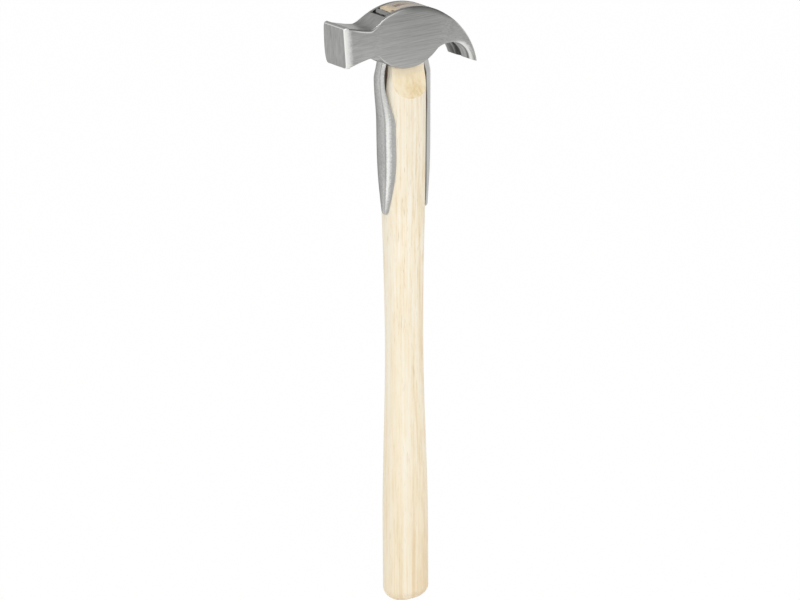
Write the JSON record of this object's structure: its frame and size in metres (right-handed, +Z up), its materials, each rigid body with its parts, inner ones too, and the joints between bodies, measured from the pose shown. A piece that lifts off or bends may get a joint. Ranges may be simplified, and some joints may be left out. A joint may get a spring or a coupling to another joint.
{
  "type": "farrier hammer",
  "caption": "Farrier's driving hammer: forged steel claw head on a pale ash handle, with two steel strap springs running from the eye down the front and back of the handle.",
  "frame": {"origin": "centre of the flat on the butt end of the handle", "axes": "+Z up the handle's axis to the crown of the head, -X towards the striking face, +X towards the claw, Y across the head's thickness"},
  "size_m": [0.0893, 0.029, 0.36],
  "materials": {
    "forged_steel": "ground and brushed along the head, edges polished",
    "spring_steel": "satin, fine grained",
    "ash_wood": "sanded smooth, clear satin",
    "beech_wood": "end grain, ground flush with the crown"
  },
  "bodies": {
    "root": {"head": "forged_steel", "handle": "ash_wood", "front_strap": "spring_steel", "rear_strap": "spring_steel", "wedge": "beech_wood"}
  },
  "joints": []
}
